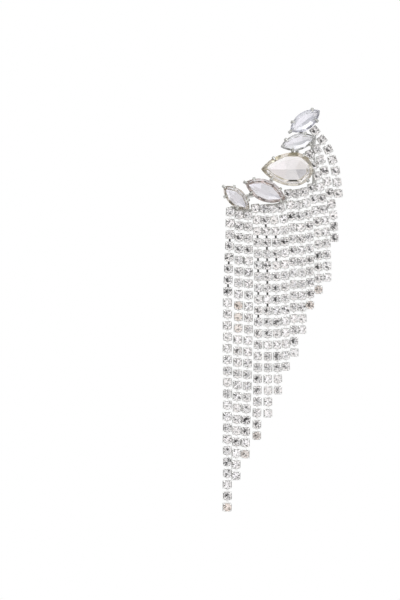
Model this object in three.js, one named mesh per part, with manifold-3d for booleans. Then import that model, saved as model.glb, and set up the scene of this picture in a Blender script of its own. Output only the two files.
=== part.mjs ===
// A long tassel earring: a slanting cluster of five claw-set stones, and a fringe of
// fourteen cup chains that hangs from a rail behind the cluster.
//
// Millimetres. +Z is up, the front faces -Y, and the origin is the root of the ear post,
// on the face of the post's pad that rests against the ear lobe.

import * as THREE from 'three';
import { ConvexGeometry } from 'three/addons/geometries/ConvexGeometry.js';
import { mergeVertices } from 'three/addons/utils/BufferGeometryUtils.js';
import Module from 'manifold-3d';

const wasm = await Module();
wasm.setup();

// Ear post: a straight pin on a round pad, with a groove that a clutch snaps into.
const POST_RADIUS = 0.42;
const POST_LENGTH = 11;
const POST_TIP_LENGTH = 0.5;
const POST_TIP_RADIUS = 0.2;
const GROOVE_FROM_TIP = 2;
const GROOVE_WIDTH = 0.6;
const GROOVE_DEPTH = 0.1;
const PAD_RADIUS = 2.2;
const PAD_THICKNESS = 0.7;
const POST_SIDES = 20;

// Depths of the layers, each measured forwards from the lobe face.
const SOLDER_GAP = 0.05;
const FRAME_BACK = PAD_THICKNESS + SOLDER_GAP;
const WIRE_DEPTH = 1.1;
const FRAME_FRONT = FRAME_BACK + WIRE_DEPTH;
const GALLERY_FOOT = 0.4;
const GALLERY_BACK = FRAME_BACK + GALLERY_FOOT;

// Soldered wires of the frame.
const WIRE_WIDTH = 1.3;
const RAIL_WIDTH = 1.5;
const SEAT_PLATE_RADIUS = 2.4;
const SEAT_PLATE_SIDES = 24;
const WIRE_STEPS_PER_STATION = 4;

// Cup chain: the pitch from stone to stone, and the section of a strand.
const CHAIN_PITCH = 3.7;
const STRAND_WIDTH = 2.44;
const STRAND_DEPTH = 2.2;
const STRAND_CHAMFER = 0.45;
const HALF_CUP = 1.22;
const STRAND_CLEARANCE = 0.3;
const STRAND_MIDDLE = FRAME_FRONT + STRAND_CLEARANCE + STRAND_DEPTH / 2;

// Claw galleries: a wall under the girdle of each stone, and claws that bend over its crown.
const STONE_GAP = 0.15;
const GIRDLE_THICKNESS = 0.3;
const WALL_THICKNESS = 0.5;
const CLAW_WIDTH = 0.9;
const CLAW_THICKNESS = 0.42;
const CLAW_SHOULDER = 0.34;
const CLAW_REACH = 1.0;
const CLAW_TIP = 0.26;
const CLAW_FOOT = 0.6;
const SOLDER_OVERLAP = 0.15;

// Facet rings of a cut stone: points on each quarter of the girdle and of the table.
const GIRDLE_POINTS = 4;
const TABLE_POINTS = 2;

// The five stones. x and z place the widest point of the outline, and turn is the slope of its
// length in degrees. left, right and half give the outline: the reach to each end and half of the
// width. girdle is its distance forwards from the lobe face, and inset is how far the gallery's
// wall is tucked in under the outline. crown and pavilion are heights, table is the share of the
// outline that the flat top takes, and keel is the share that the bottom ridge takes. claws lists
// each claw's place along the outline (-1 to 1) and its side, where side 0 is the tip itself.
const STONES = [
  {
    name: 'stone_navette_top', x: 9.2, z: 16.5, turn: 35.5, left: 5.9, right: 5.9, half: 2.9,
    girdle: 4.8, inset: 0.45, crown: 1.1, pavilion: 1.9, table: 0.6, keel: 0.3, tint: 0xe8edf4,
    claws: [[-1, 0], [-0.58, 1], [0.7, 1], [0.55, -1]],
  },
  {
    name: 'stone_navette_upper', x: 7.1, z: 9.7, turn: 15.5, left: 6.1, right: 5.8, half: 2.65,
    girdle: 4.8, inset: 0.45, crown: 1, pavilion: 1.8, table: 0.58, keel: 0.3, tint: 0xe6eaef,
    claws: [[-0.6, 1], [-0.42, -1], [0.5, 1], [0.62, -1]],
  },
  {
    name: 'stone_pear', x: 5.7, z: 0.8, turn: 0, left: 10.75, right: 6.2, half: 5.45,
    girdle: 5.3, inset: 1, crown: 1.6, pavilion: 3.0, table: 0.66, keel: 0, tint: 0xe9e4d6,
    claws: [[-0.62, 1], [-0.68, -1], [0.5, 1], [0.72, -1]],
  },
  {
    name: 'stone_navette_wide', x: -3.8, z: -6.1, turn: -23, left: 7, right: 7.3, half: 3.5,
    girdle: 4.9, inset: 0.45, crown: 1.2, pavilion: 2.1, table: 0.62, keel: 0.3, tint: 0xe4e2e8,
    claws: [[-1, 0], [-0.67, 1], [-0.55, -1], [0.6, 1], [0.85, -1]],
  },
  {
    name: 'stone_navette_lower', x: -13.1, z: -8.35, turn: -41.5, left: 5.4, right: 5.7, half: 2.8,
    girdle: 4.8, inset: 0.45, crown: 1.05, pavilion: 1.85, table: 0.58, keel: 0.3, tint: 0xe8e4e4,
    claws: [[-1, 0], [-0.53, 1], [-0.54, -1], [0.6, 1], [0.45, -1]],
  },
];

// The fourteen strands, from the left. links counts the set stones. Each strand hangs from its
// top stone, through a bend near the cluster and a waist lower down, and ends above tipX.
const STRANDS = [
  { links: 27, top: [-15, -12.9], bend: [-15.1, -19.9], waist: [-15.8, -38.4], tipX: -16 },
  { links: 24, top: [-12, -13.8], bend: [-12.1, -21.2], waist: [-12.5, -51.4], tipX: -13.3 },
  { links: 22, top: [-9.4, -14.1], bend: [-9.1, -24.7], waist: [-9.1, -47.2], tipX: -10.4 },
  { links: 21, top: [-6.8, -11.8], bend: [-6.4, -15.3], waist: [-5.9, -37.7], tipX: -6.5 },
  { links: 19, top: [-4.1, -11.9], bend: [-3.3, -19.2], waist: [-2.9, -43.3], tipX: -2.7 },
  { links: 17, top: [-1.4, -11.9], bend: [-0.3, -19.2], waist: [0, -43.6], tipX: 0.6 },
  { links: 15, top: [1.4, -11.6], bend: [2.3, -15], waist: [2.7, -26], tipX: 3.1 },
  { links: 15, top: [3.9, -7], bend: [4.9, -14.3], waist: [5.5, -29], tipX: 5.8 },
  { links: 13, top: [6.5, -7], bend: [7.6, -14.2], waist: [8.2, -25.4], tipX: 8.4 },
  { links: 11, top: [9.1, -6.4], bend: [10.3, -13.5], waist: [10.9, -25.4], tipX: 10.9 },
  { links: 10, top: [11.5, -5.1], bend: [12.85, -12.4], waist: [13.5, -19.7], tipX: 13.7 },
  { links: 12, top: [10.9, 5.8], bend: [13.15, -0.6], waist: [15.8, -15.3], tipX: 16.7 },
  { links: 9, top: [13.3, 7.6], bend: [15.95, -1.5], waist: [18.25, -13.2], tipX: 18.9 },
  { links: 7, top: [12.5, 13.4], bend: [16.4, 8.2], waist: [19, 1.4], tipX: 20.7 },
];

// The wires of the frame, as stations (x, z) from end to end: the rail passes behind the top stone
// of every strand, and the spine joins the backs of the galleries.
const RAIL = [
  [-15.1, -11.6], [-9.5, -12.8], [-4.1, -11.2], [1.4, -10.4], [4.1, -7],
  [9.1, -5.9], [12.1, -4.2], [12.4, 0], [11.9, 6.4], [12.4, 12.6],
];
const SPINE = [[-13.1, -8.35], [-3.8, -6.1], [0, 0], [5.7, 0.9], [7.1, 9.55], [9.25, 16.45]];

// Finishes: bright plated metal, clear glass with its own tint for each stone, and cup chain, which
// is half metal and half glass to the eye.
const METAL = { color: 0xc9ccd1, roughness: 0.22, metalness: 1 };
const GLASS = { roughness: 0.05, metalness: 0 };
const RHINESTONES = { color: 0xdfe1e6, roughness: 0.15, metalness: 0.5 };

/** A closed geometry as a solid that can be joined or cut. */
function toSolid(geometry) {
  const bare = geometry.clone();
  bare.deleteAttribute('normal');
  bare.deleteAttribute('uv');
  const merged = mergeVertices(bare);
  return new wasm.Manifold(new wasm.Mesh({
    numProp: 3,
    vertProperties: new Float32Array(merged.attributes.position.array),
    triVerts: new Uint32Array(merged.index.array),
  }));
}

/** A solid's surface as a geometry with flat facets. */
function toGeometry(solid) {
  const mesh = solid.getMesh();
  const indexed = new THREE.BufferGeometry();
  indexed.setAttribute('position', new THREE.BufferAttribute(mesh.vertProperties, 3));
  indexed.setIndex(new THREE.BufferAttribute(mesh.triVerts, 1));
  const geometry = indexed.toNonIndexed();
  geometry.computeVertexNormals();
  return geometry;
}

/** One end of a stone's outline: a quarter arc from the widest point to the tip. */
function endArc(reach, half, grow, points) {
  const radius = (reach * reach + half * half) / (2 * half);
  const drop = radius - half;
  const grown = radius + grow;
  const last = Math.acos(drop / grown);
  const arc = [];
  for (let i = 0; i <= points; i += 1) {
    const angle = (last * i) / points;
    arc.push([grown * Math.sin(angle), grown * Math.cos(angle) - drop]);
  }
  return arc;
}

/** A stone's outline, anticlockwise in its own plane, scaled by share and grown outwards. */
function outline(stone, share, grow, points) {
  const left = endArc(stone.left * share, stone.half * share, grow, points);
  const right = endArc(stone.right * share, stone.half * share, grow, points);
  const ring = [];
  right.forEach(([u, v]) => ring.unshift([u, v]));
  left.slice(1).forEach(([u, v]) => ring.push([-u, v]));
  left.slice(0, -1).reverse().forEach(([u, v]) => ring.push([-u, -v]));
  right.slice(1, -1).forEach(([u, v]) => ring.push([u, -v]));
  return ring;
}

/** The transform from a stone's own plane (u along, v across, w forwards) to the earring. */
function stoneFrame(stone) {
  const turn = THREE.MathUtils.degToRad(stone.turn);
  const along = new THREE.Vector3(Math.cos(turn), 0, Math.sin(turn));
  const across = new THREE.Vector3(-Math.sin(turn), 0, Math.cos(turn));
  const forwards = new THREE.Vector3(0, -1, 0);
  const frame = new THREE.Matrix4().makeBasis(along, across, forwards);
  frame.setPosition(stone.x, -stone.girdle, stone.z);
  return frame;
}

/** A cut stone: table, crown, girdle and a pavilion that ends in a keel or a point. */
function cutStone(stone) {
  const edge = GIRDLE_THICKNESS / 2;
  const points = [];
  const addRing = (share, count, height) => {
    outline(stone, share, 0, count).forEach(([u, v]) => points.push(new THREE.Vector3(u, v, height)));
  };
  addRing(stone.table, TABLE_POINTS, edge + stone.crown);
  addRing(1, GIRDLE_POINTS, edge);
  addRing(1, GIRDLE_POINTS, -edge);
  points.push(new THREE.Vector3(-stone.left * stone.keel, 0, -edge - stone.pavilion));
  if (stone.keel > 0) {
    points.push(new THREE.Vector3(stone.right * stone.keel, 0, -edge - stone.pavilion));
  }
  return new ConvexGeometry(points).applyMatrix4(stoneFrame(stone));
}

/** How far a stone's seat lies behind the middle of its girdle, clear of its pavilion. */
function seatDrop(stone) {
  const steepness = stone.pavilion / stone.half;
  return GIRDLE_THICKNESS / 2 + steepness * (stone.inset + WALL_THICKNESS) + STONE_GAP;
}

/** The wall of a gallery, from the back of the frame to the seat under the stone. */
function galleryWall(stone) {
  const ring = (inset) => outline(stone, 1, -inset, GIRDLE_POINTS).map(([u, v]) => new THREE.Vector2(u, v));
  const shape = new THREE.Shape(ring(stone.inset));
  shape.holes.push(new THREE.Path(ring(stone.inset + WALL_THICKNESS)));
  const height = stone.girdle - seatDrop(stone) - GALLERY_BACK;
  const wall = new THREE.ExtrudeGeometry(shape, { depth: height, bevelEnabled: false, steps: 1 });
  wall.translate(0, 0, GALLERY_BACK - stone.girdle);
  return wall.applyMatrix4(stoneFrame(stone));
}

/** One claw: a foot on the wall, a leg up past the girdle and a tip that bends over the crown. */
function claw(stone, [place, side]) {
  const reach = place < 0 ? stone.left : stone.right;
  const radius = (reach * reach + stone.half * stone.half) / (2 * stone.half);
  const u = place * reach;
  const lean = side === 0 ? (Math.PI / 2) * place : Math.asin(u / radius);
  const v = side * (radius * Math.cos(lean) - (radius - stone.half));
  const outwards = new THREE.Vector3(Math.sin(lean), side * Math.cos(lean), 0);
  const forwards = new THREE.Vector3(0, 0, 1);
  const slope = stone.crown / (stone.half * (1 - stone.table));
  const base = GALLERY_BACK - stone.girdle;
  const edge = GIRDLE_THICKNESS / 2 + STONE_GAP;
  const root = -stone.inset - SOLDER_OVERLAP;
  const outer = STONE_GAP + CLAW_THICKNESS;
  const tip = STONE_GAP - CLAW_REACH;
  const profile = new THREE.Shape([
    new THREE.Vector2(root, base),
    new THREE.Vector2(outer, base),
    new THREE.Vector2(outer, edge + CLAW_SHOULDER),
    new THREE.Vector2(tip, edge + slope * CLAW_REACH + CLAW_TIP),
    new THREE.Vector2(tip, edge + slope * CLAW_REACH),
    new THREE.Vector2(STONE_GAP, edge),
    new THREE.Vector2(STONE_GAP, base + CLAW_FOOT),
    new THREE.Vector2(root, base + CLAW_FOOT),
  ]);
  const bar = new THREE.ExtrudeGeometry(profile, { depth: CLAW_WIDTH, bevelEnabled: false, steps: 1 });
  bar.translate(0, 0, -CLAW_WIDTH / 2);
  const sideways = new THREE.Vector3().crossVectors(outwards, forwards);
  const seat = new THREE.Matrix4().makeBasis(outwards, forwards, sideways);
  seat.setPosition(u, v, 0);
  return bar.applyMatrix4(seat).applyMatrix4(stoneFrame(stone));
}

/** A flat wire of the frame through the given stations. */
function frameWire(stations, width) {
  const curve = new THREE.CatmullRomCurve3(
    stations.map(([x, z]) => new THREE.Vector3(x, -(FRAME_BACK + WIRE_DEPTH / 2), z)),
    false,
    'centripetal',
  );
  const section = new THREE.Shape([
    new THREE.Vector2(-WIRE_DEPTH / 2, -width / 2),
    new THREE.Vector2(WIRE_DEPTH / 2, -width / 2),
    new THREE.Vector2(WIRE_DEPTH / 2, width / 2),
    new THREE.Vector2(-WIRE_DEPTH / 2, width / 2),
  ]);
  const steps = stations.length * WIRE_STEPS_PER_STATION;
  return new THREE.ExtrudeGeometry(section, { extrudePath: curve, steps, bevelEnabled: false });
}

/** The flat plate on the back of the frame that the post's pad is soldered to. */
function seatPlate() {
  const plate = new THREE.CylinderGeometry(
    SEAT_PLATE_RADIUS,
    SEAT_PLATE_RADIUS,
    WIRE_DEPTH,
    SEAT_PLATE_SIDES,
  );
  return plate.translate(0, -(FRAME_BACK + WIRE_DEPTH / 2), 0);
}

/** The soldered metal: galleries, claws, spine, rail and seat plate as one solid. */
function clawFrame() {
  const pieces = [frameWire(RAIL, RAIL_WIDTH), frameWire(SPINE, WIRE_WIDTH), seatPlate()];
  STONES.forEach((stone) => {
    pieces.push(galleryWall(stone));
    stone.claws.forEach((place) => pieces.push(claw(stone, place)));
  });
  return toGeometry(pieces.map(toSolid).reduce((whole, piece) => whole.add(piece)));
}

/** The line that a strand's stones lie on, one pitch longer than the strand. */
function strandLine({ links, top, bend, waist, tipX }) {
  const hung = (links + 1) * CHAIN_PITCH;
  const used = Math.hypot(bend[0] - top[0], bend[1] - top[1])
    + Math.hypot(waist[0] - bend[0], waist[1] - bend[1]);
  const stations = [top, bend, waist, [tipX, waist[1] - (hung - used)]];
  const points = stations.map(([x, z]) => new THREE.Vector3(x, -STRAND_MIDDLE, z));
  return new THREE.CatmullRomCurve3(points, false, 'centripetal');
}

/** The chamfered section of a strand, depth first and then width. */
function strandSection() {
  const depth = STRAND_DEPTH / 2;
  const width = STRAND_WIDTH / 2;
  const section = new THREE.Shape();
  section.moveTo(depth, -width + STRAND_CHAMFER);
  section.lineTo(depth, width - STRAND_CHAMFER);
  section.lineTo(depth - STRAND_CHAMFER, width);
  section.lineTo(-depth + STRAND_CHAMFER, width);
  section.lineTo(-depth, width - STRAND_CHAMFER);
  section.lineTo(-depth, -width + STRAND_CHAMFER);
  section.lineTo(-depth + STRAND_CHAMFER, -width);
  section.lineTo(depth - STRAND_CHAMFER, -width);
  section.closePath();
  return section;
}

/** One strand of cup chain as a tube along its route, from its top stone to its last. */
function fringeStrand(strand) {
  const line = strandLine(strand);
  const length = line.getLength();
  const steps = strand.links;
  const hung = (strand.links - 1) * CHAIN_PITCH;
  const first = line.getPointAt(0);
  const points = [first.clone().addScaledVector(line.getTangentAt(0), -HALF_CUP)];
  for (let i = 1; i < steps; i += 1) {
    points.push(line.getPointAt((hung * i) / (steps * length)));
  }
  points.push(line.getPointAt((hung + HALF_CUP) / length));
  const route = new THREE.CatmullRomCurve3(points, false, 'centripetal');
  return new THREE.ExtrudeGeometry(strandSection(), {
    extrudePath: route,
    steps,
    bevelEnabled: false,
  });
}

/** The ear post with its pad, turned about the Y axis. */
function earPost() {
  const grooveEnd = POST_LENGTH - GROOVE_FROM_TIP;
  const grooveStart = grooveEnd - GROOVE_WIDTH;
  const profile = [
    [0, -PAD_THICKNESS],
    [PAD_RADIUS, -PAD_THICKNESS],
    [PAD_RADIUS, 0],
    [POST_RADIUS, 0],
    [POST_RADIUS, grooveStart],
    [POST_RADIUS - GROOVE_DEPTH, grooveStart + GROOVE_WIDTH / 3],
    [POST_RADIUS - GROOVE_DEPTH, grooveEnd - GROOVE_WIDTH / 3],
    [POST_RADIUS, grooveEnd],
    [POST_RADIUS, POST_LENGTH - POST_TIP_LENGTH],
    [POST_TIP_RADIUS, POST_LENGTH],
    [0, POST_LENGTH],
  ];
  const points = profile.map(([radius, y]) => new THREE.Vector2(radius, y));
  return new THREE.LatheGeometry(points, POST_SIDES);
}

/** A named piece with its own material. */
function piece(name, geometry, { color, roughness, metalness }) {
  const material = new THREE.MeshStandardMaterial({ color, roughness, metalness, flatShading: true });
  const mesh = new THREE.Mesh(geometry, material);
  mesh.name = name;
  return mesh;
}

const earring = new THREE.Group();
earring.name = 'tassel_earring';
earring.add(piece('claw_frame', clawFrame(), METAL));
earring.add(piece('ear_post', earPost(), METAL));
STONES.forEach((stone) => {
  earring.add(piece(stone.name, cutStone(stone), { ...GLASS, color: stone.tint }));
});
STRANDS.forEach((strand, index) => {
  const name = `fringe_strand_${String(index + 1).padStart(2, '0')}`;
  earring.add(piece(name, fringeStrand(strand), RHINESTONES));
});

export default earring;
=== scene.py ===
"""A long tassel earring: five claw-set stones in a slanting cluster over a fringe of cup chain.

Sizes are in millimetres in the part's own frame, where +Z is up, the front faces -Y and the origin
is the root of the ear post. Meshes are handed to Blender in metres.
"""

import logging
import math
from collections.abc import Iterable, Sequence
from dataclasses import dataclass, field, replace
from enum import Enum

import bpy
import numpy as np
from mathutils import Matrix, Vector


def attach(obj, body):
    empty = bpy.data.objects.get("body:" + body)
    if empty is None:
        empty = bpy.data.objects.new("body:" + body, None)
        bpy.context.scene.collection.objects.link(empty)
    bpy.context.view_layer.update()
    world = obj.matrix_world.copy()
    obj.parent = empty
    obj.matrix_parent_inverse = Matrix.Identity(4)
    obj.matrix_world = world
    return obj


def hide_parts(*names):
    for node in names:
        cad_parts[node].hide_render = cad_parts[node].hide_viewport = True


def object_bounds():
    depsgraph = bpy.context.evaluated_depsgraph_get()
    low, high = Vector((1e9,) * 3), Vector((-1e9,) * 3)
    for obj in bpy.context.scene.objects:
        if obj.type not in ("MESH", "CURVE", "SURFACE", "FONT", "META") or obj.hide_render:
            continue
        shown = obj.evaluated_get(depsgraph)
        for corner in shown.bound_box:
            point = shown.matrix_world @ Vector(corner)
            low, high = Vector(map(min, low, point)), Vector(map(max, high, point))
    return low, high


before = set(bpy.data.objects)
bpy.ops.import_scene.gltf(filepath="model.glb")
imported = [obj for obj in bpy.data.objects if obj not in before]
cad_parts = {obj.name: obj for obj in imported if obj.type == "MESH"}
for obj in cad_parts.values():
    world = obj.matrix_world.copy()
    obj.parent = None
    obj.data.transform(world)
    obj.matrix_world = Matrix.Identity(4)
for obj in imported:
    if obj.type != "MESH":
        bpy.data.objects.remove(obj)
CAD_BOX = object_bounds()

LOG = logging.getLogger("tassel_earring")
MM = 0.001
BODY = "root"
FORWARDS = np.array((0.0, -1.0, 0.0))
QUARTERS = ((-1, -1), (-1, 1), (1, -1), (1, 1))
STONE_CREASE = 35
METAL_CREASE = 50
SEED = 4127

Pair = tuple[float, float]
Colour = tuple[float, float, float]
Face = tuple[int, ...]


class Slot(Enum):
    """The record's material slots."""

    PLATED_METAL = "plated_metal"
    FOILED_GLASS = "foiled_glass"
    RHINESTONE_CHAIN = "rhinestone_chain"


class Shading(Enum):
    """How the faces of a piece meet in the light."""

    FACETED = "faceted"
    ROUNDED = "rounded"


class StonePart(Enum):
    """The parts of a cut stone, by the material that covers them."""

    GLASS = 0
    RIM = 1
    BELLY = 2


class Detail(Enum):
    """How finely a mottled pattern breaks up, in octaves of noise."""

    SOFT = 1
    MILD = 2
    GRAINY = 3
    FINE = 4


# ---------------------------------------------------------------------------------------------
# Finishes
# ---------------------------------------------------------------------------------------------


class NodeBench:
    """Lays out the nodes of one material or world and joins them."""

    NOISE_MIDDLE = (0.3, 0.7)

    def __init__(self, tree: bpy.types.NodeTree) -> None:
        """Clears the tree and keeps it.

        Args:
            tree: The node tree to build in.
        """
        tree.nodes.clear()
        self.tree = tree

    def add(
        self, kind: str, sockets: dict[str, object] | None = None, **settings: object,
    ) -> bpy.types.Node:
        """Adds one node.

        Args:
            kind: The node's type name.
            sockets: Values for the node's own input sockets, by name.
            settings: Values for the node's own properties.

        Returns:
            The new node.
        """
        node = self.tree.nodes.new(kind)
        for name, value in settings.items():
            setattr(node, name, value)
        self.fill(node, sockets or {})
        return node

    def fill(self, node: bpy.types.Node, sockets: dict[str, object]) -> None:
        """Sets input sockets of a node, by name."""
        for name, value in sockets.items():
            node.inputs[name].default_value = value

    def join(self, source: bpy.types.NodeSocket, target: bpy.types.NodeSocket) -> None:
        """Links an output to an input."""
        self.tree.links.new(source, target)

    def mottle(self, size: float, detail: Detail) -> bpy.types.NodeSocket:
        """Adds a noise in the piece's own space.

        Args:
            size: The size of one patch, in millimetres.
            detail: How finely the patches break up.

        Returns:
            The noise's value, between 0 and 1.
        """
        place = self.add("ShaderNodeTexCoord")
        sockets = {"Scale": 1 / (size * MM), "Detail": detail.value}
        noise = self.add("ShaderNodeTexNoise", sockets)
        self.join(place.outputs["Object"], noise.inputs["Vector"])
        return noise.outputs["Fac"]

    def ease(
        self, value: bpy.types.NodeSocket, limits: Pair, low: float = 0, high: float = 1,
    ) -> bpy.types.NodeSocket:
        """Eases a value from one level to another.

        Args:
            value: The value.
            limits: Where it leaves the first level and where it reaches the second.
            low: The first level.
            high: The second level.

        Returns:
            The eased value.
        """
        sockets = {"From Min": limits[0], "From Max": limits[1], "To Min": low, "To Max": high}
        eased = self.add("ShaderNodeMapRange", sockets, interpolation_type="SMOOTHSTEP")
        self.join(value, eased.inputs["Value"])
        return eased.outputs["Result"]

    def blend(
        self, share: bpy.types.NodeSocket,
        first: Colour | bpy.types.NodeSocket, second: Colour | bpy.types.NodeSocket,
    ) -> bpy.types.NodeSocket:
        """Blends two colours, each given as it is or as the output that gives it.

        Args:
            share: How much of the second colour shows.
            first: The first colour.
            second: The second colour.

        Returns:
            The blended colour.
        """
        mix = self.add("ShaderNodeMix", data_type="RGBA")
        for name, colour in (("A", first), ("B", second)):
            if isinstance(colour, bpy.types.NodeSocket):
                self.join(colour, mix.inputs[name])
            else:
                mix.inputs[name].default_value = (*colour, 1)
        self.join(share, mix.inputs["Factor"])
        return mix.outputs["Result"]

    def relief(self, size: float, detail: Detail, depth: float) -> bpy.types.NodeSocket:
        """Turns a noise into a surface normal.

        Args:
            size: The size of one patch, in millimetres.
            detail: How finely the patches break up.
            depth: The real depth of the relief, in millimetres.

        Returns:
            The normal.
        """
        bump = self.add("ShaderNodeBump", {"Strength": 1, "Distance": depth * MM})
        self.join(self.mottle(size, detail), bump.inputs["Height"])
        return bump.outputs["Normal"]


@dataclass(frozen=True)
class Finish:
    """What every finish has: a name, and a surface shader with its own procedural pattern."""

    name: str

    def material(self) -> bpy.types.Material:
        """Makes the finish, or returns it if it has been made.

        Returns:
            The material.
        """
        made = bpy.data.materials.get(self.name)
        if made is not None:
            return made
        made = bpy.data.materials.new(self.name)
        made.use_nodes = True
        bench = NodeBench(made.node_tree)
        surface = bench.add("ShaderNodeBsdfPrincipled")
        output = bench.add("ShaderNodeOutputMaterial")
        bench.join(surface.outputs["BSDF"], output.inputs["Surface"])
        self.dress(bench, surface)
        return made

    def dress(self, bench: NodeBench, surface: bpy.types.Node) -> None:
        """Sets the surface shader. Each finish has its own way.

        Args:
            bench: The bench that the material is laid out on.
            surface: The surface shader.
        """
        raise NotImplementedError


@dataclass(frozen=True)
class Plating(Finish):
    """Bright plated metal: polished, with faint orange peel and cloudier patches."""

    bright: Colour = (0.64, 0.64, 0.62)
    cloudy: Colour = (0.48, 0.48, 0.45)
    smooth: float = 0.07
    dull: float = 0.18
    patch: float = 1.6
    peel: float = 0.35
    peel_depth: float = 0.004

    def dress(self, bench: NodeBench, surface: bpy.types.Node) -> None:
        """Sets the colour, the polish and the relief of the plating.

        Args:
            bench: The bench that the material is laid out on.
            surface: The surface shader.
        """
        bench.fill(surface, {"Metallic": 1})
        patches = bench.mottle(self.patch, Detail.FINE)
        cloud = bench.ease(patches, bench.NOISE_MIDDLE)
        polish = bench.ease(patches, bench.NOISE_MIDDLE, self.smooth, self.dull)
        peel = bench.relief(self.peel, Detail.MILD, self.peel_depth)
        bench.join(bench.blend(cloud, self.bright, self.cloudy), surface.inputs["Base Color"])
        bench.join(polish, surface.inputs["Roughness"])
        bench.join(peel, surface.inputs["Normal"])


@dataclass(frozen=True)
class CutGlass(Finish):
    """Clear lead glass with a polish that is very slightly wavy."""

    tint: Colour = (0.99, 0.99, 1.0)
    index: float = 1.56
    wave: float = 1.8
    wave_depth: float = 0.0025

    def dress(self, bench: NodeBench, surface: bpy.types.Node) -> None:
        """Sets the glass's tint, its index and its polish.

        Args:
            bench: The bench that the material is laid out on.
            surface: The surface shader.
        """
        bench.fill(surface, {
            "Base Color": (*self.tint, 1), "Metallic": 0, "Roughness": 0, "IOR": self.index,
            "Transmission Weight": 1,
        })
        polish = bench.relief(self.wave, Detail.SOFT, self.wave_depth)
        bench.join(polish, surface.inputs["Normal"])


@dataclass(frozen=True)
class MirrorFoil(Finish):
    """Silver foil behind a stone, warmed by its lacquer where it comes up to the girdle."""

    silver: Colour = (0.95, 0.95, 0.96)
    lacquer: Colour = (0.8, 0.72, 0.6)
    thick_lacquer: Colour = (0.6, 0.54, 0.42)
    lacquer_patch: float = 3.2
    roughness: float = 0.05
    crinkle: float = 1.1
    crinkle_depth: float = 0.01
    # Painted shade: the dark colour that chosen facets take, standing in for dark reflections in
    # the stone.
    painted_shade: Colour = (0.2, 0.2, 0.2)

    def dress(self, bench: NodeBench, surface: bpy.types.Node) -> None:
        """Sets the foil's colour from the warmth and the painted facet shade stored on the mesh,
        and its crinkle.

        Args:
            bench: The bench that the material is laid out on.
            surface: The surface shader.
        """
        bench.fill(surface, {"Metallic": 1, "Roughness": self.roughness})
        warmth = bench.add("ShaderNodeAttribute", attribute_name="warmth")
        unshaded_share = bench.add("ShaderNodeAttribute", attribute_name="unshaded_share")
        patches = bench.ease(bench.mottle(self.lacquer_patch, Detail.SOFT), bench.NOISE_MIDDLE)
        lacquer = bench.blend(patches, self.lacquer, self.thick_lacquer)
        whole = bench.blend(warmth.outputs["Fac"], self.silver, lacquer)
        # Painted shade: facets with a low stored share are blended towards the dark colour, in
        # place of dark reflections.
        foil_with_painted_shade = bench.blend(unshaded_share.outputs["Fac"], self.painted_shade, whole)
        crinkle = bench.relief(self.crinkle, Detail.MILD, self.crinkle_depth)
        bench.join(foil_with_painted_shade, surface.inputs["Base Color"])
        bench.join(crinkle, surface.inputs["Normal"])


@dataclass(frozen=True)
class SoftFoil(MirrorFoil):
    """The foil under the belly of a large stone: duller, gently dented and hardly lacquered."""

    lacquer: Colour = (0.92, 0.9, 0.91)
    thick_lacquer: Colour = (0.88, 0.87, 0.88)
    roughness: float = 0.2
    crinkle: float = 2.6
    crinkle_depth: float = 0.05


@dataclass(frozen=True)
class PaintedBoard(Finish):
    """Matt white board for the studio floor, lit a little from beneath."""

    white: Colour = (0.97, 0.97, 0.97)
    shade: Colour = (0.94, 0.94, 0.94)
    grain: float = 6
    glow: float = 0.13
    roughness: float = 0.9
    shine: float = 0.1

    def dress(self, bench: NodeBench, surface: bpy.types.Node) -> None:
        """Sets the board's white, its faint grain and the light that comes up through it.

        Args:
            bench: The bench that the material is laid out on.
            surface: The surface shader.
        """
        bench.fill(surface, {
            "Roughness": self.roughness, "Specular IOR Level": self.shine,
            "Emission Color": (1, 1, 1, 1), "Emission Strength": self.glow,
        })
        grain = bench.ease(bench.mottle(self.grain, Detail.GRAINY), bench.NOISE_MIDDLE)
        bench.join(bench.blend(grain, self.white, self.shade), surface.inputs["Base Color"])


FRAME_PLATING = Plating("bright_plating")
WIRE_PLATING = Plating(
    "barrelled_plating", bright=(0.86, 0.86, 0.84), cloudy=(0.7, 0.7, 0.68), smooth=0.32, dull=0.45,
)
CHAIN_PLATING = Plating(
    "chain_plating", bright=(0.95, 0.95, 0.94), cloudy=(0.82, 0.82, 0.81), smooth=0.16, dull=0.3,
    patch=0.9, peel=0.25, peel_depth=0.003,
)
LINK_PLATING = Plating(
    "link_plating", bright=(0.9, 0.9, 0.89), cloudy=(0.78, 0.78, 0.77), patch=0.9, peel=0.25,
    peel_depth=0.003,
)
CHAIN_GLASS = CutGlass("rhinestone_glass", wave=0.5, wave_depth=0.0012)
CHAIN_FOIL = MirrorFoil(
    "rhinestone_foil", silver=(0.99, 0.99, 0.99), lacquer=(0.95, 0.89, 0.84),
    thick_lacquer=(0.93, 0.87, 0.82), crinkle=0.35, crinkle_depth=0.003,
)
COOL_GLASS = CutGlass("glass_cool_white", tint=(0.97, 0.98, 1.0))
WARM_GLASS = CutGlass("glass_warm_white", tint=(1.0, 0.985, 0.965))
LILAC_GLASS = CutGlass("glass_lilac_white", tint=(0.98, 0.97, 1.0))
COOL_RIM = MirrorFoil("foil_cool_rim", lacquer=(0.8, 0.8, 0.84), thick_lacquer=(0.5, 0.5, 0.55))
GREY_RIM = MirrorFoil("foil_grey_rim", lacquer=(0.78, 0.78, 0.75), thick_lacquer=(0.45, 0.44, 0.36))
CHAMPAGNE_RIM = MirrorFoil(
    "foil_champagne_rim", silver=(0.97, 0.96, 0.93), lacquer=(0.85, 0.8, 0.72),
    thick_lacquer=(0.56, 0.54, 0.43),
)
ROSE_RIM = MirrorFoil(
    "foil_rose_rim", silver=(0.93, 0.9, 0.89), lacquer=(0.7, 0.6, 0.55),
    thick_lacquer=(0.44, 0.39, 0.31),
)
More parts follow.
